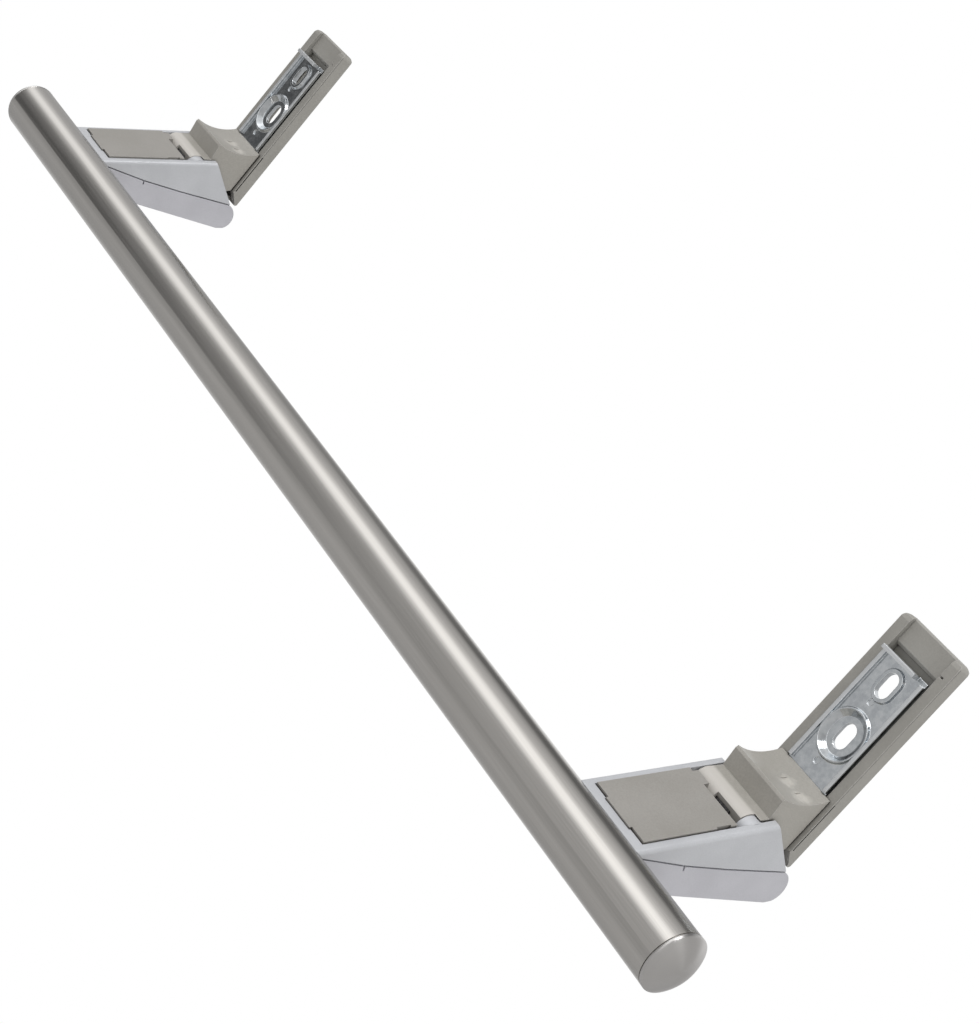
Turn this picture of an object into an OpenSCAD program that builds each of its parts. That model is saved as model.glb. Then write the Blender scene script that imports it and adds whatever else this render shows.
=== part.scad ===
// Pull handle for a fridge door, with an opening lever in each bracket.
// Lengths are in millimetres. +Z runs up the bar, +X points from the bracket to the
// door's side face, and -Y points to the person who pulls.
// The origin is the middle of the four screw slots that fix the handle to the door.

/* [Bar] */
// Outside diameter of the bar
bar_d = 20; // [16:0.5:25]
// Wall thickness of the bar
bar_wall = 1.5; // [1:0.1:2.5]
// Length of the bar with both end caps
bar_length = 501; // [460:1:700]
// Length of the end cap that shows outside the tube
cap_skirt = 4.6; // [4:0.1:12]
// Height of the end cap's domed face
cap_dome = 3.5; // [1:0.1:3.5]

/* [Brackets] */
// Distance between the two brackets along the bar
bracket_spacing = 400; // [340:1:600]
// Angle of the arm's top face, from the door's side face
arm_angle = 60.5; // [50:0.5:70]
// Width of the arm across its top face
arm_top_w = 30.6; // [28:0.2:36]
// Width of the arm across its underside
arm_bottom_w = 34.2; // [30:0.2:40]
// Radius of the arm's outer knee
knee_r = 5.5; // [3:0.1:6]

/* [Hinge] */
// Diameter of the hinge pin
pin_d = 4; // [3:0.1:5]
// Outside radius of the barrel around the pin
barrel_r = 5; // [4.4:0.1:6]
// Radial running clearance of the pin in the barrel
pin_clear = 0.04; // [0.01:0.01:0.1]

/* [Screws] */
// Length of a door screw slot, end to end
slot_length = 8.6; // [7:0.1:11]
// Width of a door screw slot
slot_w = 5.2; // [4.2:0.1:6]
// Distance between the two slots of one plate
slot_pitch = 19; // [17:0.5:22]

/* [Pressure plate] */
// Outside width of the pressure plate
plate_w = 26.4; // [24:0.2:30]
// Sliding gap between the pressure plate and the fixed parts
slide_gap = 0.3; // [0.2:0.05:0.5]

/* [Hidden] */
$fn = 64;

// Where the bar's axis stands from the origin
bar_x = 61.55;
bar_y = -71.4;

// The arm is drawn in its own section: x is the height over the bar's axis towards
// the door and y is the distance from the bar's axis towards the knee.
arm_top = 8;
seam_gap = 0.5;
shell_wall = 2;
cheek_in = 12.5;
arm_seam = [[6.6, 5], [0, 24.7], [-4.5, 41.4], [-10, 64.6], [-10.6, 67.1]];
knee = [-14.7, 61.4];
arm_under = [-4.3, 2];
arm_back = [arm_top, 55.6];
root_end = 14.5;
screw_h = 0.6;
cover_t = 1.5;
cover_end = 42;
cover_half = 12.2;
cover_proud = 0.6;
pin_pos = [3.3, 48.6];
arm_past = 80;

// The bracket is drawn in the door's directions, from the bar's axis: x towards the
// door's side face and y rearwards.
pin_x = pin_pos[0] * cos(arm_angle) - pin_pos[1] * sin(arm_angle);
pin_y = pin_pos[0] * sin(arm_angle) + pin_pos[1] * cos(arm_angle);
door_x = -59.3;
lip_x = -57;
sheet_t = 1.3;
sheet_top = -60.4;
sheet_half = 9.1;
sheet_front = 30.3;
sheet_end = 89.2;
flange_start = 47;
flange_end = 87.8;
dish_depth = 1;
collar_h = 0.9;
slot_mid = -bar_y;
block_half = 11.8;
barrel_low = -9;
barrel_high = 11.9;
foot_y = 46.4;
saddle = [-44.7, 63.9];
saddle_r = 23.1;
rim_x = sheet_top - slide_gap;
floor_x = -64.6;
outer_x = -66;
rim_in = sheet_half + 0.5;
front_y = 23.4;
pad_y = 91;
plate_end = 100;
pad_x = rim_x - 1.7;
corner_r = 2;
notch_y = 93.4;
dimple_y = [51.4, 74.2];

// Return spring
wire_d = 0.9;
coil_r = 3.05;
coils = 10;
coil_step = 0.82;

// Screw that holds the arm on the bar
screw_r = 2.5;
insert_r = bar_d / 2 - bar_wall;

// Sphere that gives the end cap its domed face
dome_r = (pow(bar_d / 2, 2) + pow(cap_dome, 2)) / (2 * cap_dome);

module at_bar() {
    translate([bar_x, bar_y, 0]) children();
}

module arm_frame() {
    at_bar() rotate([0, 0, arm_angle]) children();
}

module at_lower() {
    translate([0, 0, -bracket_spacing / 2]) children();
}

module at_upper() {
    translate([0, 0, bracket_spacing / 2]) children();
}

// A flat shape drawn in X and Y, standing from z_low to z_high
module slab(z_low, z_high) {
    translate([0, 0, z_low]) linear_extrude(z_high - z_low) children();
}

module box(low, high) {
    translate(low) cube(high - low);
}

// A slot that runs along Y and is cut along X
module slot_x(x_low, x_high, y_mid, length, width) {
    translate([x_low, y_mid, 0]) rotate([0, 90, 0]) linear_extrude(x_high - x_low) {
        square([width, length - width], center = true);
        translate([0, (length - width) / 2]) circle(d = width);
        translate([0, -(length - width) / 2]) circle(d = width);
    }
}

// The same slot with sloping sides: width_low at x_low, width_high at x_high
module slot_x_tapered(x_low, x_high, y_mid, straight, width_low, width_high) {
    for (side = [-1, 1])
        translate([x_low, y_mid + side * straight / 2, 0]) rotate([0, 90, 0])
            cylinder(h = x_high - x_low, d1 = width_low, d2 = width_high);
    translate([0, y_mid + straight / 2, 0]) rotate([90, 0, 0]) linear_extrude(straight)
        polygon([[x_low, -width_low / 2], [x_low, width_low / 2],
            [x_high, width_high / 2], [x_high, -width_high / 2]]);
}

// Bar

module bar_tube() {
    tube_half = bar_length / 2 - cap_skirt;
    color("silver") at_bar() difference() {
        translate([0, 0, -tube_half]) cylinder(h = 2 * tube_half, d = bar_d);
        translate([0, 0, -tube_half - 1]) cylinder(h = 2 * tube_half + 2, r = insert_r);
        for (side = [-1, 1])
            translate([0, 0, side * bracket_spacing / 2]) rotate([0, 0, arm_angle])
                translate([screw_h, 0, 0]) rotate([-90, 0, 0]) cylinder(h = bar_d, r = screw_r + 0.4);
    }
}

module end_cap() {
    color("silver") at_bar() translate([0, 0, -bar_length / 2]) {
        intersection() {
            translate([0, 0, dome_r]) rotate([90, 30, 0]) sphere(r = dome_r, $fn = 128);
            cylinder(h = cap_skirt - 0.35, d = bar_d);
        }
        // Chamfer that makes the thin joint line, and the spigot in the tube
        translate([0, 0, cap_skirt - 0.36]) cylinder(h = 0.36, r1 = bar_d / 2, r2 = bar_d / 2 - 0.36);
        translate([0, 0, cap_skirt - 0.2]) cylinder(h = 10.2, r = insert_r - 0.05);
    }
}

// Arm

// Sides of the arm, narrower at the top face than below, with a rounded top edge
module arm_sides(inset) {
    top = arm_top_w / 2 - inset;
    low = arm_bottom_w / 2 - inset;
    edge = inset > 0 ? 0.01 : 1.4;
    rotate([-90, 0, 0]) translate([0, 0, -5]) linear_extrude(arm_past) {
        polygon([[arm_top - 28, -low], [arm_top - edge, -top], [arm_top - edge, top], [arm_top - 28, low]]);
        polygon([[arm_top - edge, -top], [arm_top, -top + edge], [arm_top, top - edge], [arm_top - edge, top]]);
        for (side = [-1, 1])
            translate([arm_top - edge, side * (top - edge)]) circle(r = edge);
    }
}

module arm_outline() {
    polygon([[arm_top, 0], arm_back, arm_seam[3], knee,
        knee + knee_r * [-0.966, -0.26], arm_under, [arm_under[0], 0]]);
    translate(knee) circle(r = knee_r);
}

module arm_hollow_outline(wall) {
    polygon([[arm_top + 1, -2], [arm_top + 1, arm_past], [-10.1, arm_past], [-10.1, 65.5 - wall], [-13.4, knee[1] + 3.25],
        knee, knee + (knee_r - wall) * [-0.966, -0.26], arm_under + [wall + 0.1, 0], [-2, -2]]);
    translate(knee) circle(r = knee_r - wall);
}

module over_seam(shift) {
    polygon([[20, 4], [20, arm_past],
        arm_seam[4] + [shift, 0], arm_seam[3] + [shift, 0], arm_seam[2] + [shift, 0],
        arm_seam[1] + [shift, 0], arm_seam[0] + [shift, 0]]);
}

module under_seam(shift) {
    polygon([[-40, -4], [arm_seam[0][0] + shift + 1.2, 1.6], arm_seam[0] + [shift, 0], arm_seam[1] + [shift, 0],
        arm_seam[2] + [shift, 0], arm_seam[3] + [shift, 0], arm_seam[4] + [shift, 0], [-40, arm_past]]);
}

module bar_space() {
    translate([0, 0, -30]) cylinder(h = 60, d = bar_d, $fn = 96);
}

module arm() {
    color("lightsteelblue") arm_frame() {
        difference() {
            union() {
                intersection() {
                    slab(-20, 20) intersection() {
                        arm_outline();
                        over_seam(seam_gap / 2);
                    }
                    arm_sides(0);
                }
                intersection() {
                    slab(-20, 20) intersection() {
                        arm_outline();
                        arm_hollow_outline(shell_wall + 0.15);
                        over_seam(-5);
                    }
                    arm_sides(shell_wall + 0.15);
                }
                slab(-cheek_in - 0.5, cheek_in + 0.5) intersection() {
                    arm_hollow_outline(shell_wall + 0.15);
                    translate([-12, 0]) square([12 + arm_top, root_end]);
                }
            }
            // Room for the cover, the bearing block and the screw
            slab(-cheek_in, cheek_in) polygon([[-30, root_end], [arm_top + 5, root_end],
                [arm_top + 5, arm_past], [-30, arm_past]]);
            slab(-cover_half - 0.3, cover_half + 0.3) polygon([[arm_top - cover_t, 9.4],
                [arm_top + 5, 9.4], [arm_top + 5, cover_end + 5], [arm_top - cover_t, cover_end + 5]]);
            slab(-6.4, 6.4) translate([arm_top - cover_t, 8.9]) square([5, 2]);
            bar_space();
            translate([screw_h, 0, 0]) rotate([-90, 0, 0]) cylinder(h = 30, r = screw_r + 0.2);
            translate([pin_pos[0], pin_pos[1], -14.3]) cylinder(h = 40, d = pin_d);
        }
        // Ledges under the cover
        for (side = [-1, 1])
            slab(side > 0 ? cheek_in - 1.6 : -cheek_in - 0.3, side > 0 ? cheek_in + 0.3 : -cheek_in + 1.6)
                translate([arm_top - cover_t - 1.5, root_end - 0.3]) square([1.5, cover_end - 3 - root_end]);
        slab(-cheek_in - 0.3, cheek_in + 0.3)
            translate([arm_top - cover_t - 1.5, cover_end - 3.4]) square([1.5, 2.2]);
        // Pad under the cross bar, for the spring's leg
        pad_low = pin_pos[0] - coil_r + wire_d / 2 + 0.02;
        slab(2.7, 4.7) translate([pad_low, cover_end - 3.4]) square([arm_top - cover_t - 1.4 - pad_low, 2.2]);
        // Boss round the pin on the lower cheek
        difference() {
            translate([pin_pos[0], pin_pos[1], -cheek_in - 0.4])
                cylinder(h = cheek_in + 0.4 + barrel_low - slide_gap, r = barrel_r - 0.1);
            translate([pin_pos[0], pin_pos[1], -14.3]) cylinder(h = 40, d = pin_d);
        }
    }
}

module arm_shell() {
    color("lightsteelblue") arm_frame() {
        difference() {
            intersection() {
                slab(-20, 20) intersection() {
                    arm_outline();
                    under_seam(-seam_gap / 2);
                }
                arm_sides(0);
            }
            intersection() {
                slab(-20, 20) arm_hollow_outline(shell_wall);
                arm_sides(shell_wall);
            }
            bar_space();
            // Small pry notch in each edge, at the bend of the seam
            for (side = [-1, 1])
                translate([arm_seam[1][0] - 1.7, arm_seam[1][1] - 0.3, side > 0 ? 14.9 : -20])
                    cube([1.7, 0.6, 5.1]);
        }
    }
}

module screw_cover() {
    color("tan") arm_frame() {
        difference() {
            slab(-cover_half, cover_half) translate([arm_top - cover_t, 9.9])
                square([cover_t + cover_proud, cover_end - 9.9]);
            // Corner by the lower edge where a blade lifts the cover
            slab(-20, -cover_half + 0.6) translate([0, 35]) square([20, 5]);
        }
        slab(-6.1, 6.1) translate([arm_top - cover_t, 9.1]) square([cover_t + cover_proud, 1]);
        slab(4.9, 10.6) translate([arm_top - cover_t, cover_end - 0.2]) square([cover_t + cover_proud, 2.3]);
        // Clips on the underside
        for (side = [-1, 1])
            slab(side > 0 ? 8.2 : -9.4, side > 0 ? 9.4 : -8.2)
                translate([arm_top - cover_t - 3, 22]) square([3.1, 8]);
    }
}

module bar_screw() {
    color("gray") arm_frame() translate([screw_h, 0, 0]) rotate([-90, 0, 0]) difference() {
        union() {
            translate([0, 0, -3]) cylinder(h = root_end + 3.2, r = screw_r);
            translate([0, 0, root_end]) cylinder(h = 3, r = 4.3);
        }
        translate([0, 0, root_end + 1.2]) cylinder(h = 3, r = 2.3, $fn = 6);
    }
}

module bar_insert() {
    color("goldenrod") arm_frame() difference() {
        translate([0, 0, -8]) cylinder(h = 16, r = insert_r - 0.05);
        translate([screw_h, -12, 0]) rotate([-90, 0, 0]) cylinder(h = 24, r = screw_r + 0.03);
    }
}

module hinge_pin() {
    color("silver") arm_frame() translate([pin_pos[0], pin_pos[1], -14.3]) cylinder(h = 29, d = pin_d);
}

// One side of the wound wire, seen in section: side is 1 for the outside
function coil_edge(side, z_low) = [for (i = [0 : coils - 1]) for (k = [-0.5, -0.22, 0.22])
    [coil_r + side * (abs(k) > 0.4 ? wire_d * 0.3 : wire_d / 2), z_low + (i + k) * coil_step]];

module return_spring() {
    z_low = -(coils - 1) * coil_step / 2;
    outer = coil_edge(1, z_low);
    inner = coil_edge(-1, z_low);
    last = z_low + (coils - 0.5) * coil_step;
    color("dimgray") arm_frame() translate([pin_pos[0], pin_pos[1], 0]) {
        rotate_extrude($fn = 48) polygon(concat(outer, [[coil_r, last]],
            [for (i = [len(inner) - 1 : -1 : 0]) inner[i]]));
        // Leg that presses on the arm's cross bar, and leg that stands in the block
        translate([-coil_r, 0, -z_low]) rotate([90, 0, 0]) cylinder(h = 10.5, d = wire_d);
        rotate([0, 0, -arm_angle]) translate([0, coil_r, z_low]) rotate([0, -90, 0]) cylinder(h = 5.5, d = wire_d);
    }
}

// Fixed bracket

module bearing_plate() {
    big = slot_mid - slot_pitch / 2;
    small = slot_mid + slot_pitch / 2;
    color("gainsboro") at_bar() difference() {
        union() {
            difference() {
                box([sheet_top - sheet_t, sheet_front, -sheet_half], [sheet_top, sheet_end, sheet_half]);
                slot_x_tapered(sheet_top - sheet_t - 0.5, sheet_top + 0.01, big, 1.6, 12, 14);
                slot_x(sheet_top - 5, sheet_top + 5, small, slot_length + 0.4, slot_w + 0.4);
            }
            // Dish with a raised collar round the front slot
            difference() {
                union() {
                    slot_x_tapered(sheet_top - sheet_t - dish_depth, sheet_top - 0.1, big, 1.6, 13.2, 16.2);
                    slot_x_tapered(sheet_top - 0.2, sheet_top + collar_h, big, 1.6, 16.4, 15.2);
                }
                slot_x_tapered(sheet_top - dish_depth, sheet_top + collar_h + 0.1, big, 1.6, 10.8, 14.6);
            }
            // Low collar round the rear slot
            slot_x_tapered(sheet_top - sheet_t, sheet_top + collar_h, small, slot_length - slot_w, 9.6, 7.4);
            for (side = [-1, 1])
                box([sheet_top - sheet_t, flange_start, side > 0 ? sheet_half - sheet_t : -sheet_half],
                    [door_x, flange_end, side > 0 ? sheet_half : -sheet_half + sheet_t]);
            box([sheet_top - sheet_t, sheet_end - sheet_t, -5.6], [lip_x, sheet_end, sheet_half - 0.3]);
        }
        slot_x(sheet_top - 10, sheet_top + 10, big, slot_length, slot_w);
        slot_x(sheet_top - 10, sheet_top + 10, small, slot_length, slot_w);
        // Two locating dimples
        for (y = dimple_y)
            translate([sheet_top - 0.5, y, 0.8]) rotate([0, 90, 0]) cylinder(h = 2, d = 2.2);
        // Holes for the block's posts and for the pressure plate's hooks
        for (side = [-1, 1]) {
            translate([sheet_top - 5, 43.4, side * 5]) rotate([0, 90, 0]) cylinder(h = 10, d = 4);
            box([sheet_top - 5, 32.6, side > 0 ? 3.7 : -5.5], [sheet_top + 5, 40.2, side > 0 ? 5.5 : -3.7]);
        }
    }
}

module block_body() {
    difference() {
        union() {
            slab(-block_half, block_half) difference() {
                polygon([[sheet_top, 30.4], [-44.2, 26.4], [pin_x, pin_y],
                    [pin_x + barrel_r * cos(arm_angle), pin_y + barrel_r * sin(arm_angle)], [-43, 33.6],
                    [-41.9, 40], [-42.3, 40.9], [-59.8, foot_y], [sheet_top, foot_y]]);
                translate(saddle) circle(r = saddle_r);
            }
            // Side skirts that reach forward beside the knee
            for (side = [-1, 1])
                slab(side > 0 ? 9.6 : -block_half, side > 0 ? block_half : -9.6)
                    polygon([[sheet_top, 31], [sheet_top, 27.9], [-58.4, 26.3], [-52, 25.4], [-46, 25.8],
                        [-44.6, 31]]);
        }
        // Room for the boss on the arm's lower cheek
        translate([pin_x, pin_y, -30]) cylinder(h = 30 + barrel_low, r = barrel_r + slide_gap);
    }
}

module bearing_block() {
    color("wheat") at_bar() difference() {
        union() {
            block_body();
            translate([pin_x, pin_y, barrel_low]) cylinder(h = barrel_high - barrel_low, r = barrel_r);
            // Posts through the plate, with pressed heads
            for (side = [-1, 1]) {
                translate([sheet_top - sheet_t - 0.9, 43.4, side * 5]) rotate([0, 90, 0]) cylinder(h = 3, d = 3.96);
                translate([sheet_top - sheet_t - 0.9, 43.4, side * 5]) rotate([0, 90, 0]) cylinder(h = 0.9, d = 6);
            }
        }
        translate([pin_x, pin_y, -30]) cylinder(h = 60, r = pin_d / 2 + pin_clear);
        // Pocket for the return spring, open towards the arm
        translate([pin_x, pin_y, -4.7]) cylinder(h = 9.4, r = coil_r + wire_d / 2 + 0.3);
        translate([pin_x, pin_y, 0]) rotate([0, 0, arm_angle]) {
            box([-6.5, -9, 2.7], [0.4, 0.3, 4.5]);
            box([-2.5, -9, -4.6], [1.6, -1, 4.6]);
            // Slot in the barrel's front, beside the cover's edge
            box([-2.4, -9, barrel_low - 0.6], [barrel_r + 1, -2.7, 2.2]);
        }
        box([pin_x - 6.6, pin_y + 2.2, -4.5], [pin_x + 0.3, pin_y + 4.9, -2.7]);
        // Pockets over the pressure plate's hooks
        for (side = [-1, 1])
            box([sheet_top - 1, 32.4, side > 0 ? 3.5 : -6.7], [sheet_top + 2.2, 40.4, side > 0 ? 6.7 : -3.5]);
        // Two shallow dents in the hollow rear slope
        for (z = [[-3.4, 0.4], [-10.4, -6.4]])
            translate([-52.12, 44.84, z[0]]) cylinder(h = z[1] - z[0], r = 3);
        // Rebate along the lower edges, seen as a dark line over the pressure plate
        for (side = [-1, 1])
            box([sheet_top - 1, 20, side > 0 ? block_half - 0.5 : -block_half - 1],
                [sheet_top + 0.5, foot_y + 1, side > 0 ? block_half + 1 : -block_half + 0.5]);
    }
}

module pressure_plate() {
    half = plate_w / 2;
    color("darkkhaki") at_bar() difference() {
        union() {
            // Floor
            slab(-half, half) polygon([[outer_x + 0.6, front_y], [outer_x, front_y + 0.6], [outer_x, plate_end - 0.8],
                [outer_x + 0.8, plate_end], [floor_x, plate_end], [floor_x, front_y]]);
            // Side walls, cut down beside the knee
            for (side = [-1, 1])
                slab(side > 0 ? rim_in : -half, side > 0 ? half : -rim_in)
                    polygon([[floor_x - 0.2, front_y + 0.6], [rim_x, 27.8], [rim_x, plate_end - 2],
                        [rim_x - 0.5, plate_end - 0.6], [pad_x, plate_end], [floor_x - 0.2, plate_end]]);
            // Raised pad at the end that pushes on the cabinet
            slab(-rim_in - 0.2, rim_in + 0.2) polygon([[floor_x - 0.2, pad_y], [pad_x - 1, pad_y], [pad_x, pad_y + 1],
                [pad_x, plate_end - 0.4], [pad_x - 0.4, plate_end], [floor_x - 0.2, plate_end]]);
            // Upright rib that the knee pushes on
            box([floor_x - 0.2, front_y, -8.9], [-59.4, front_y + 1.4, 8.9]);
            // Hooks that hold the plate to the fixed sheet
            for (side = [-1, 1]) {
                box([floor_x - 0.2, 33, side > 0 ? 4 : -5.2], [sheet_top + 1.4, 35, side > 0 ? 5.2 : -4]);
                box([sheet_top + 0.3, 33, side > 0 ? 4 : -6.2], [sheet_top + 1.4, 35, side > 0 ? 6.2 : -4]);
            }
        }
        // Window over the door screws
        slot_x(outer_x - 1, floor_x + 1, slot_mid - 0.5, 33, 11.2);
        // Shadow lines along the outer edges, wider beside the block
        for (side = [-1, 1]) {
            box([rim_x - 0.85, 28.6, side > 0 ? half - 0.6 : -half - 1],
                [rim_x - 0.3, foot_y, side > 0 ? half + 1 : -half + 0.6]);
            box([rim_x - 0.6, foot_y, side > 0 ? half - 0.15 : -half - 1],
                [rim_x - 0.4, plate_end - 1, side > 0 ? half + 1 : -half + 0.15]);
        }
        // Rounded corners at the rear end
        for (side = [-1, 1])
            translate([outer_x - 1, plate_end - corner_r, side * (half - corner_r)]) rotate([0, 90, 0])
                difference() {
                    translate([side > 0 ? -corner_r - 1 : 0, 0, 0]) cube([corner_r + 1, corner_r + 1, 8]);
                    translate([0, 0, -1]) cylinder(h = 10, r = corner_r);
                }
        // Notch in the lower rim by the pad
        box([rim_x - 0.8, notch_y - 0.3, -rim_in - 1.5], [rim_x + 1, notch_y + 0.3, -rim_in + 1]);
    }
}

bar_tube();
end_cap();  // end_cap_lower
at_bar() mirror([0, 0, 1]) translate([-bar_x, -bar_y, 0]) end_cap();  // end_cap_upper
at_lower() arm();  // arm_lower
at_upper() arm();  // arm_upper
at_lower() arm_shell();  // arm_shell_lower
at_upper() arm_shell();  // arm_shell_upper
at_lower() screw_cover();  // screw_cover_lower
at_upper() screw_cover();  // screw_cover_upper
at_lower() bar_screw();  // bar_screw_lower
at_upper() bar_screw();  // bar_screw_upper
at_lower() bar_insert();  // bar_insert_lower
at_upper() bar_insert();  // bar_insert_upper
at_lower() hinge_pin();  // hinge_pin_lower
at_upper() hinge_pin();  // hinge_pin_upper
at_lower() return_spring();  // return_spring_lower
at_upper() return_spring();  // return_spring_upper
at_lower() bearing_plate();  // bearing_plate_lower
at_upper() bearing_plate();  // bearing_plate_upper
at_lower() bearing_block();  // bearing_block_lower
at_upper() bearing_block();  // bearing_block_upper
at_lower() pressure_plate();  // pressure_plate_lower
at_upper() pressure_plate();  // pressure_plate_upper
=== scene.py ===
"""A fridge door handle: a brushed steel bar on two angled brackets that hold the opening lever.

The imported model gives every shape. This script gives the finishes, the lamps and the camera.
"""
import math

import bpy
from mathutils import Matrix, Vector

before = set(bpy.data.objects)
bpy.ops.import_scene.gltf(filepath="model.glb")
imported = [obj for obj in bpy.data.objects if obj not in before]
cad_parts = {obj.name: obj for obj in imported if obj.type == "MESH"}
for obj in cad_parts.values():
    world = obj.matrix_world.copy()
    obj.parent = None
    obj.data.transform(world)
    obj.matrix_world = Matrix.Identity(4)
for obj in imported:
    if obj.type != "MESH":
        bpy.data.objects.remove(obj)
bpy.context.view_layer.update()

MM = 0.001
BAR_AXIS = Vector((61.55, -71.4, 0)) * MM
PIN_AXIS = Vector((20.876, -44.596, 0)) * MM
BARREL_R = 5.0 * MM
BRACKET_STEP = 400 * MM
# Middles of the two painted highlights on the hollow rear slope of the lower block
SLOPE_HIGHLIGHT_SPOTS = (Vector((8.5, -29.0, -201.5)) * MM, Vector((8.5, -29.0, -208.6)) * MM)
FLANGE_TOP = 2.25 * MM
# Most of a noise lies between the two values of each pair
SOFT_NOISE = (0.38, 0.62)
WIDE_NOISE = (0.35, 0.65)


def linear(hex_colour):
    """Turns an sRGB hex colour into the linear colour that Blender's sockets take."""
    parts = [int(hex_colour[i:i + 2], 16) / 255 for i in (1, 3, 5)]
    return tuple(c / 12.92 if c <= 0.04045 else ((c + 0.055) / 1.055) ** 2.4 for c in parts) + (1.0,)


def add(tree, kind, inputs=None, stops=(), **settings):
    """Adds a node. An input takes a value, or the output that feeds it. Stops are a ramp's places and colours."""
    made = tree.nodes.new(kind)
    for name, value in settings.items():
        setattr(made, name, value)
    for key, value in (inputs or {}).items():
        if isinstance(value, bpy.types.NodeSocket):
            tree.links.new(value, made.inputs[key])
        else:
            made.inputs[key].default_value = value
    for index, (place, colour) in enumerate(stops):
        elements = made.color_ramp.elements
        element = elements[index] if index < len(elements) else elements.new(place)
        element.position = place
        element.color = colour
    return made


def new_material(name, **sockets):
    """A material with one Principled shader, and the sockets that are the same all over."""
    material = bpy.data.materials.new(name)
    material.use_nodes = True
    tree = material.node_tree
    tree.nodes.clear()
    shader = add(tree, "ShaderNodeBsdfPrincipled", {key.replace("_", " "): value for key, value in sockets.items()})
    add(tree, "ShaderNodeOutputMaterial", {"Surface": shader.outputs[0]})
    return material, tree, shader


def rounded_edges(tree, radius, samples, start):
    """The normal of softly rounded edges, and how much of an edge a spot is, from 0 at start to 1."""
    rounded = add(tree, "ShaderNodeBevel", {"Radius": radius}, samples=samples).outputs[0]
    flat = add(tree, "ShaderNodeNewGeometry").outputs["True Normal"]
    match = add(tree, "ShaderNodeVectorMath", {0: rounded, 1: flat}, operation="DOT_PRODUCT").outputs["Value"]
    share = add(tree, "ShaderNodeMapRange", {"Value": match, "From Min": start, "From Max": 0.9}).outputs[0]
    return rounded, share


def distance_from(tree, axis):
    """How far a spot is from an upright axis."""
    place = add(tree, "ShaderNodeTexCoord").outputs["Object"]
    centred = add(tree, "ShaderNodeVectorMath", {0: place, 1: axis}, operation="SUBTRACT").outputs[0]
    level = add(tree, "ShaderNodeVectorMath", {0: centred, 1: (1, 1, 0)}, operation="MULTIPLY").outputs[0]
    return add(tree, "ShaderNodeVectorMath", {0: level}, operation="LENGTH").outputs["Value"]


def finish(name, shades, rough, grain, cloud, bump, edge=0.0, edge_highlight="#d8d6d2", stretch=(1, 1, 1),
           cloud_stretch=(1, 1, 1), grime=0.0, **sockets):
    """A whole finish: a fine grain and slow clouds that vary the colour and the gloss, and the grain's relief.

    grain, cloud, bump, edge and grime are lengths in millimetres. edge is the radius that the sharp edges show,
    and edge_highlight is the paler colour painted along them as a highlight. grime is how wide a gap gets painted
    shade.
    """
    material, tree, shader = new_material(name, **sockets)
    place = add(tree, "ShaderNodeTexCoord").outputs["Object"]
    fine_place = add(tree, "ShaderNodeMapping", {"Vector": place, "Scale": stretch}).outputs[0]
    slow_place = add(tree, "ShaderNodeMapping", {"Vector": place, "Scale": cloud_stretch}).outputs[0]
    fine = add(tree, "ShaderNodeTexNoise", {"Vector": fine_place, "Scale": 1 / (grain * MM), "Detail": 2.0}).outputs[0]
    slow = add(tree, "ShaderNodeTexNoise", {"Vector": slow_place, "Scale": 1 / (cloud * MM), "Detail": 3.0}).outputs[0]
    both = add(tree, "ShaderNodeMix", {"Factor": 0.5, 2: fine, 3: slow}).outputs[0]
    dark, mid, pale = [linear(shade) for shade in shades]
    body = add(tree, "ShaderNodeValToRGB", {"Fac": both}, [(SOFT_NOISE[0], dark), (0.5, mid), (SOFT_NOISE[1], pale)])
    colour = body.outputs[0]
    gloss = add(tree, "ShaderNodeMapRange", {"Value": both, "From Min": SOFT_NOISE[0], "From Max": SOFT_NOISE[1],
                                             "To Min": rough[0], "To Max": rough[1]})
    relief = {"Height": fine, "Strength": 0.3, "Distance": bump * MM}
    if edge:
        # Painted highlight: the sharp edges are lightened towards a paler colour, standing in for the light they catch
        highlight_strength = 0.6
        rounded, share = rounded_edges(tree, edge * MM, 6, 0.995)
        edge_glint = add(tree, "ShaderNodeMath", {0: share, 1: highlight_strength}, operation="MULTIPLY").outputs[0]
        colour = add(tree, "ShaderNodeMix", {"Factor": edge_glint, 6: colour, 7: linear(edge_highlight)},
                     data_type="RGBA").outputs[2]
        relief["Normal"] = rounded
    if grime:
        # Painted shade: where ambient occlusion finds a gap closed in, the colour is darkened towards dark grey
        closed = add(tree, "ShaderNodeAmbientOcclusion", {"Distance": grime * MM}, samples=12).outputs["AO"]
        unshaded = add(tree, "ShaderNodeMapRange", {"Value": closed, "From Min": 0.4, "From Max": 0.68}).outputs[0]
        colour = add(tree, "ShaderNodeMix", {"Factor": unshaded, 6: linear("#57544f"), 7: colour},
                     data_type="RGBA").outputs[2]
    tree.links.new(colour, shader.inputs["Base Color"])
    tree.links.new(gloss.outputs[0], shader.inputs["Roughness"])
    tree.links.new(add(tree, "ShaderNodeBump", relief).outputs[0], shader.inputs["Normal"])
    return material


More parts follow.
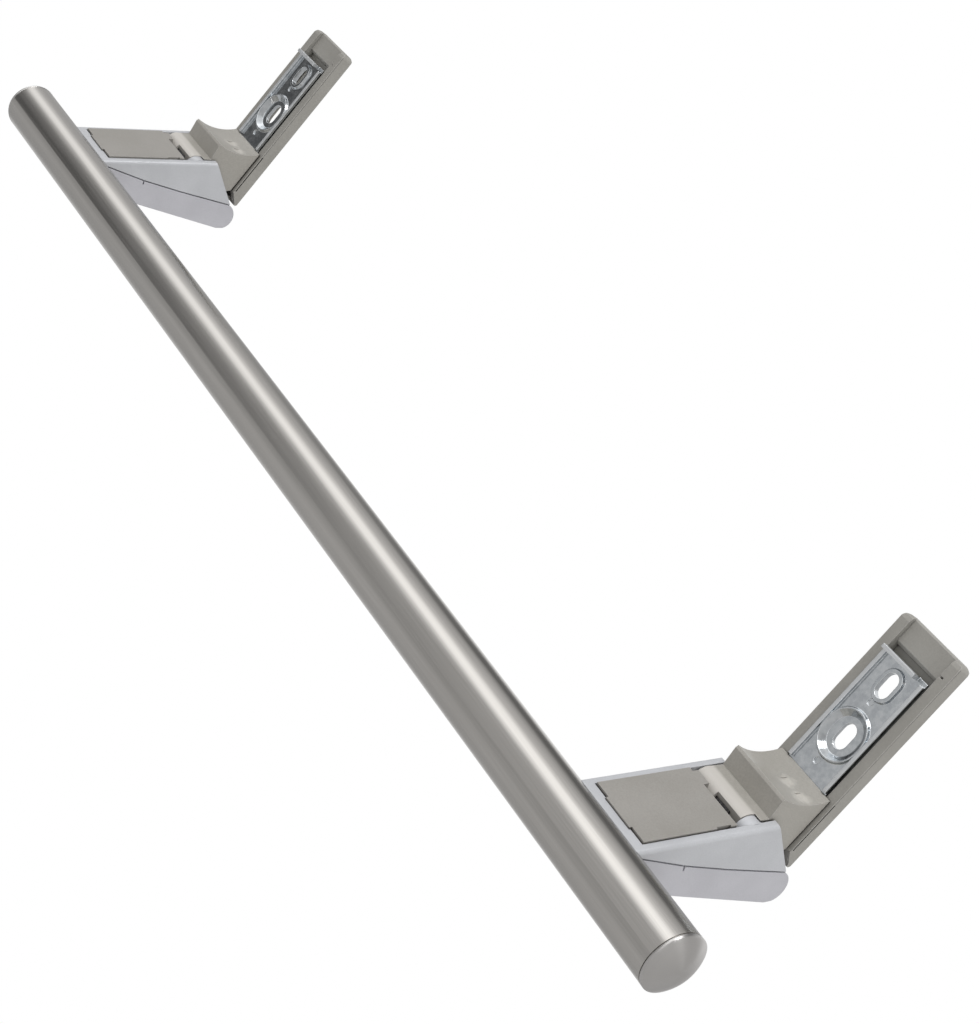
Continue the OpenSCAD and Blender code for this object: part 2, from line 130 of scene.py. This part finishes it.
def turned_stainless():
    """Domed steel cap turned on a lathe: rings too fine to count, which fan the light out from the middle."""
    ring_pitch = 0.12 * MM
    shoulder = 1.2 * MM
    material, tree, shader = new_material("turned_stainless_cap", Metallic=1.0, Anisotropic=0.85,
                                          Anisotropic_Rotation=0.25)
    radius = distance_from(tree, BAR_AXIS)
    rings = add(tree, "ShaderNodeTexNoise", {"W": radius, "Scale": 1 / ring_pitch, "Detail": 1.0},
                noise_dimensions="1D").outputs[0]
    colour = add(tree, "ShaderNodeValToRGB", {"Fac": rings},
                 [(WIDE_NOISE[0], linear("#c3c1bf")), (WIDE_NOISE[1], linear("#cac8c6"))])
    gloss = add(tree, "ShaderNodeMapRange", {"Value": rings, "From Min": WIDE_NOISE[0], "From Max": WIDE_NOISE[1],
                                             "To Min": 0.3, "To Max": 0.37})
    bevel = add(tree, "ShaderNodeBevel", {"Radius": shoulder}, samples=8).outputs[0]
    bump = add(tree, "ShaderNodeBump", {"Height": rings, "Strength": 0.1, "Distance": 0.004 * MM, "Normal": bevel})
    tangent = add(tree, "ShaderNodeTangent", direction_type="RADIAL", axis="Z")
    tree.links.new(colour.outputs[0], shader.inputs["Base Color"])
    tree.links.new(gloss.outputs[0], shader.inputs["Roughness"])
    tree.links.new(bump.outputs[0], shader.inputs["Normal"])
    tree.links.new(tangent.outputs[0], shader.inputs["Tangent"])
    return material


def bright_zinc():
    """Pressed sheet steel with bright zinc plating: faintly mottled, with painted edge highlights and matt sheared
    tops.
    """
    mottle_size = 2.2 * MM
    grain_size = 0.5 * MM
    edge_radius = 0.3 * MM
    sheared_from = FLANGE_TOP - 0.06 * MM
    material, tree, shader = new_material("bright_zinc_plated_sheet", Metallic=1.0)
    place = add(tree, "ShaderNodeTexCoord").outputs["Object"]
    mottle = add(tree, "ShaderNodeTexNoise", {"Vector": place, "Scale": 1 / mottle_size, "Detail": 3.0}).outputs[0]
    grain = add(tree, "ShaderNodeTexNoise", {"Vector": place, "Scale": 1 / grain_size, "Detail": 2.0}).outputs[0]
    plated = add(tree, "ShaderNodeValToRGB", {"Fac": mottle},
                 [(WIDE_NOISE[0], linear("#bcc0c4")), (0.5, linear("#c7cbce")), (WIDE_NOISE[1], linear("#d2d5d8"))])
    height = add(tree, "ShaderNodeSeparateXYZ", {0: place}).outputs["X"]
    sheared = add(tree, "ShaderNodeMath", {0: height, 1: sheared_from}, operation="GREATER_THAN").outputs[0]
    matt = add(tree, "ShaderNodeMix", {"Factor": sheared, 6: plated.outputs[0], 7: linear("#dfe1e3")},
               data_type="RGBA").outputs[2]
    gloss = add(tree, "ShaderNodeMapRange", {"Value": mottle, "From Min": WIDE_NOISE[0], "From Max": WIDE_NOISE[1],
                                             "To Min": 0.1, "To Max": 0.18}).outputs[0]
    rough = add(tree, "ShaderNodeMath", {0: sheared, 1: 0.35, 2: gloss}, operation="MULTIPLY_ADD").outputs[0]
    bevel, edge = rounded_edges(tree, edge_radius, 8, 0.99)
    # Painted highlight: the edges are lightened towards near white
    colour = add(tree, "ShaderNodeMix", {"Factor": edge, 6: matt, 7: linear("#eceff2")}, data_type="RGBA").outputs[2]
    wave = add(tree, "ShaderNodeBump", {"Height": mottle, "Strength": 0.1, "Distance": 0.06 * MM, "Normal": bevel})
    bump = add(tree, "ShaderNodeBump", {"Height": grain, "Strength": 0.1, "Distance": 0.04 * MM,
                                        "Normal": wave.outputs[0]})
    tree.links.new(colour, shader.inputs["Base Color"])
    tree.links.new(rough, shader.inputs["Roughness"])
    tree.links.new(bump.outputs[0], shader.inputs["Normal"])
    return material


def barrel_highlight(material):
    """The block's hinge barrel, painted paler as a highlight where its top faces the light."""
    full_within, none_past = BARREL_R + 0.1 * MM, BARREL_R + 0.5 * MM
    highlight_amount = 0.75
    tree = material.node_tree
    shader = tree.nodes["Principled BSDF"]
    body = shader.inputs["Base Color"].links[0].from_socket
    # Painted highlight: the barrel's surface is lightened towards a pale cream
    near = add(tree, "ShaderNodeMapRange", {"Value": distance_from(tree, PIN_AXIS), "From Min": none_past,
                                            "From Max": full_within, "To Max": highlight_amount})
    colour = add(tree, "ShaderNodeMix", {"Factor": near.outputs[0], 6: body, 7: linear("#dedad4")}, data_type="RGBA")
    tree.links.new(colour.outputs[2], shader.inputs["Base Color"])
    return material


def slope_highlights(material):
    """Two painted highlights on the hollow slope of each block: pale spots where the curved slope catches the light."""
    blot_size = 2.5 * MM
    raggedness = 3.0 * MM
    full_within, none_past = 3.1 * MM, 4.9 * MM
    paleness = 0.45
    tree = material.node_tree
    shader = tree.nodes["Principled BSDF"]
    colour = shader.inputs["Base Color"].links[0].from_socket
    place = add(tree, "ShaderNodeTexCoord").outputs["Object"]
    blots = add(tree, "ShaderNodeTexNoise", {"Vector": place, "Scale": 1 / blot_size, "Detail": 1.0}).outputs[0]
    parts = add(tree, "ShaderNodeSeparateXYZ", {0: place}).outputs
    # The painted highlights of the lower block, repeated on the upper one
    height = add(tree, "ShaderNodeMath", {0: parts["Z"], 1: 0.0, 2: -BRACKET_STEP}, operation="WRAP").outputs[0]
    folded = add(tree, "ShaderNodeCombineXYZ", {0: parts["X"], 1: parts["Y"], 2: height}).outputs[0]
    for mark in SLOPE_HIGHLIGHT_SPOTS:
        far = add(tree, "ShaderNodeVectorMath", {0: folded, 1: mark}, operation="DISTANCE").outputs["Value"]
        ragged = add(tree, "ShaderNodeMath", {0: blots, 1: raggedness, 2: far}, operation="MULTIPLY_ADD").outputs[0]
        share = add(tree, "ShaderNodeMapRange", {"Value": ragged, "From Min": none_past, "From Max": full_within,
                                                 "To Max": paleness}).outputs[0]
        # Painted highlight: each spot is lightened towards a pale cream
        colour = add(tree, "ShaderNodeMix", {"Factor": share, 6: colour, 7: linear("#e2ded6")},
                     data_type="RGBA").outputs[2]
    tree.links.new(colour, shader.inputs["Base Color"])
    return material


METAL = {"Metallic": 1.0}
# Fine metal flake in a satin lacquer
PAINT = {"Metallic": 0.15, "Coat_Weight": 0.15, "Coat_Roughness": 0.25}
# Paler grey painted along the silver parts' edges as a highlight
PAINT_EDGE_HIGHLIGHT = "#c9cace"
finishes = {
    # Stainless tube brushed lengthwise: long faint lines that stretch the highlights along the bar
    "bar_tube": finish("brushed_stainless_tube", ("#b8b5b1", "#bdbab6", "#c2bfbb"), (0.2, 0.26), 0.35, 30, 0.01,
                       stretch=(1, 1, 0.01), cloud_stretch=(1, 1, 0.2), **METAL),
    "end_cap": turned_stainless(),
    # Silver paint on a zinc casting: cool grey, smooth, with a soft sheen
    "arm": finish("silver_painted_casting", ("#c6c8cc", "#cbcdd1", "#d0d2d6"), (0.34, 0.44), 0.3, 12, 0.03, 0.25,
                  PAINT_EDGE_HIGHLIGHT, **PAINT),
    # The same paint on moulded ABS: a touch warmer and duller, so the two pieces stand apart
    "arm_shell": finish("silver_painted_moulding", ("#c3c3c9", "#c8c8ce", "#cdcdd3"), (0.36, 0.46), 0.3, 12, 0.03, 0.25,
                        PAINT_EDGE_HIGHLIGHT, **PAINT),
    # ABS from a spark-eroded mould: a fine matt grain
    "screw_cover": finish("moulded_abs_cover", ("#9c9993", "#a19e99", "#a6a39e"), (0.5, 0.6), 0.5, 18, 0.05, 0.2,
                          grime=1.2),
    # Acetal, self-coloured: waxy, so a little glossier than the cover
    "bearing_block": slope_highlights(barrel_highlight(finish("moulded_acetal_block", ("#a4a19a", "#aaa7a0", "#b0ada6"),
                                                     (0.34, 0.44), 0.6, 14, 0.04, 0.3, grime=1.2))),
    # Filled nylon: an even grey between the two
    "pressure_plate": finish("moulded_nylon_plate", ("#9e9c96", "#a3a19b", "#a8a6a0"), (0.42, 0.54), 0.5, 16,
                             0.05, 0.3, grime=1.2),
    # Plated screw: dull zinc with small spots
    "bar_screw": finish("zinc_plated_steel_screw", ("#9a9b9d", "#a8a9ab", "#b5b6b8"), (0.25, 0.4), 0.6, 5, 0.03,
                        **METAL),
    # Aluminium turned on a lathe: pale, with close lines round it
    "bar_insert": finish("turned_aluminium_insert", ("#b6b7b9", "#bebfc1", "#c9cacb"), (0.3, 0.42), 0.5, 8, 0.03,
                         stretch=(1, 1, 6), **METAL),
    # Centreless-ground pin: bright, with faint lines along it
    "hinge_pin": finish("ground_steel_pin", ("#a2a2a1", "#b2b2b1", "#c2c2c0"), (0.2, 0.3), 0.5, 6, 0.02,
                        stretch=(1, 1, 0.05), **METAL),
    # Hard-drawn and oiled spring wire: dark and satin
    "return_spring": finish("drawn_spring_steel", ("#5b5b5d", "#6b6b6c", "#7b7b7c"), (0.3, 0.42), 0.5, 4, 0.03,
                            **METAL),
    "bearing_plate": bright_zinc(),
}
for name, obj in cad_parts.items():
    obj.data.materials.clear()
    obj.data.materials.append(finishes[name.replace("_lower", "").replace("_upper", "")])

# The floor, the room that metal mirrors, and the lamps

FLOOR_Z = -1.5
FLOOR_HALF = 4
# How far the camera sees the card lifted, the soft fill on everything, and the brightest wall
FLOOR_LIFT = 0.5
FILL = 0.6
FULL = 1.9
# The strip window leans this much sideways per degree above its foot
STRIP_LEAN = 0.81
STRIP_FOOT = math.radians(31)
# The low walls end at the first of these heights, and what is overhead starts at the second
LOW_END = math.radians(36)
HIGH_START = math.radians(56)


def pale_floor():
    """Matt white card under the handle. The camera sees it lifted towards white, and it keeps the shadow."""
    white = linear("#f2f2f1")
    material, tree, shader = new_material("matt_card", Base_Color=white, Roughness=0.9, Emission_Color=white)
    lift = add(tree, "ShaderNodeMath", {0: add(tree, "ShaderNodeLightPath").outputs["Is Camera Ray"], 1: FLOOR_LIFT},
               operation="MULTIPLY")
    tree.links.new(lift.outputs[0], shader.inputs["Emission Strength"])
    mesh = bpy.data.meshes.new("floor")
    corners = [(x * FLOOR_HALF, y * FLOOR_HALF, FLOOR_Z) for x, y in ((-1, -1), (1, -1), (1, 1), (-1, 1))]
    mesh.from_pydata(corners, [], [(0, 1, 2, 3)])
    mesh.materials.append(material)
    floor = bpy.data.objects.new("floor", mesh)
    bpy.context.scene.collection.objects.link(floor)


def around(*pairs):
    """Stops of a ramp that goes once round the room, from pairs of degrees and brightness (FULL at most)."""
    return [((degrees + 180) / 360, (level / FULL, level / FULL, level / FULL, 1.0)) for degrees, level in pairs]


# Brightness of the studio walls as shiny metal mirrors them: one tall strip window that leans,
# and dark curtains. First what stands low in the room, then what is overhead.
LOW_WALLS = around((-180, 1.1), (-150, 0.9), (-125, 0.46), (-100, 0.5), (-60, 0.6), (-34, 0.46), (-22, 0.52), (-6, 0.6),
                   (18, 0.58), (32, 0.66), (47, 1.85), (64, 1.8), (77, 0.92), (94, 0.66), (110, 0.54), (118, 0.16),
                   (144, 0.16), (160, 1.0))
HIGH_WALLS = around((-180, 0.9), (-150, 0.7), (-125, 0.42), (-100, 0.45), (-62, 0.56), (-48, 0.42), (-38, 0.2),
                    (-30, 0.09), (-20, 0.07), (-8, 0.2), (6, 0.22), (20, 0.38), (32, 0.7), (44, 1.35), (60, 1.45),
                    (72, 0.94), (88, 0.64), (108, 0.54), (150, 0.5))


def studio_world():
    """White for the camera and glass, walls with a strip window for metal, and a soft grey fill for the rest."""
    world = bpy.data.worlds.new("studio")
    bpy.context.scene.world = world
    world.use_nodes = True
    tree = world.node_tree
    tree.nodes.clear()
    split = add(tree, "ShaderNodeSeparateXYZ", {0: add(tree, "ShaderNodeTexCoord").outputs["Generated"]}).outputs
    turn = add(tree, "ShaderNodeMath", {0: split["Y"], 1: split["X"]}, operation="ARCTAN2").outputs[0]
    rise = add(tree, "ShaderNodeMath", {0: split["Z"]}, operation="ARCSINE").outputs[0]
    lean = add(tree, "ShaderNodeMath", {0: rise, 1: -STRIP_LEAN, 2: STRIP_LEAN * STRIP_FOOT}, operation="MULTIPLY_ADD")
    place = add(tree, "ShaderNodeMath", {0: turn, 1: lean.outputs[0]}, operation="ADD").outputs[0]
    share = add(tree, "ShaderNodeMapRange", {"Value": place, "From Min": -math.pi, "From Max": math.pi}).outputs[0]
    low = add(tree, "ShaderNodeValToRGB", {"Fac": share}, LOW_WALLS).outputs[0]
    high = add(tree, "ShaderNodeValToRGB", {"Fac": share}, HIGH_WALLS).outputs[0]
    overhead = add(tree, "ShaderNodeMapRange", {"Value": rise, "From Min": LOW_END, "From Max": HIGH_START},
                   interpolation_type="SMOOTHSTEP")
    walls = add(tree, "ShaderNodeMix", {"Factor": overhead.outputs[0], 6: low, 7: high}, data_type="RGBA").outputs[2]
    room = add(tree, "ShaderNodeBackground", {"Color": walls, "Strength": FULL}).outputs[0]
    fill = add(tree, "ShaderNodeBackground", {"Color": linear("#f9f8f8"), "Strength": FILL}).outputs[0]
    white = add(tree, "ShaderNodeBackground", {"Color": linear("#ffffff"), "Strength": 1.0}).outputs[0]
    path = add(tree, "ShaderNodeLightPath").outputs
    seen = add(tree, "ShaderNodeMath", {0: path["Is Camera Ray"], 1: path["Is Transmission Ray"]}, operation="MAXIMUM")
    shiny = add(tree, "ShaderNodeMixShader", {"Fac": path["Is Glossy Ray"], 1: fill, 2: room}).outputs[0]
    mixed = add(tree, "ShaderNodeMixShader", {"Fac": seen.outputs[0], 1: shiny, 2: white}).outputs[0]
    add(tree, "ShaderNodeOutputWorld", {"Surface": mixed})


def softbox(name, direction, distance, size, watts, target, mirrored=True):
    """A square soft lamp that looks at a target from a direction. It may stay out of what metal mirrors."""
    lamp = bpy.data.lights.new(name, "AREA")
    lamp.shape = "SQUARE"
    lamp.size = size
    lamp.energy = watts
    obj = bpy.data.objects.new(name, lamp)
    bpy.context.scene.collection.objects.link(obj)
    out = Vector(direction).normalized()
    obj.location = target + out * distance
    obj.rotation_mode = "QUATERNION"
    obj.rotation_quaternion = out.to_track_quat("Z", "Y")
    obj.visible_glossy = mirrored


# The place from which the photo was taken

CAMERA_PLACE = Vector((522.522, 79.156, -524.61)) * MM
CAMERA_RIGHT = Vector((-0.598911, 0.644505, -0.47531))
CAMERA_UP = Vector((0.349676, 0.74443, 0.568816))
CAMERA_LENS = 75.087
MID_BAR = Vector((30, -50, 0)) * MM
LOWER_BRACKET = Vector((30, -50, -150)) * MM


def photo_camera():
    """The camera that was solved from the photo."""
    data = bpy.data.cameras.new("photo_camera")
    data.lens = CAMERA_LENS
    data.sensor_width = 36.0
    data.sensor_fit = "AUTO"
    data.clip_start, data.clip_end = 0.01, 30
    camera = bpy.data.objects.new("photo_camera", data)
    bpy.context.scene.collection.objects.link(camera)
    back = CAMERA_RIGHT.cross(CAMERA_UP)
    turn = Matrix((CAMERA_RIGHT, CAMERA_UP, back)).transposed()
    camera.matrix_world = Matrix.Translation(CAMERA_PLACE) @ turn.to_4x4()
    bpy.context.scene.camera = camera


def from_camera(right, up, forward):
    """A direction given along the photo camera's own right, up and forward."""
    back = CAMERA_RIGHT.cross(CAMERA_UP)
    return CAMERA_RIGHT * right + CAMERA_UP * up - back * forward


pale_floor()
studio_world()
photo_camera()
softbox("key", from_camera(0.55, 0.75, -0.55), 1.6, 0.6, 10, MID_BAR)
softbox("low_fill", from_camera(0.3, -0.75, -0.6), 1.2, 0.8, 3.2, LOWER_BRACKET, mirrored=False)

scene = bpy.context.scene
scene.view_settings.view_transform = "Standard"
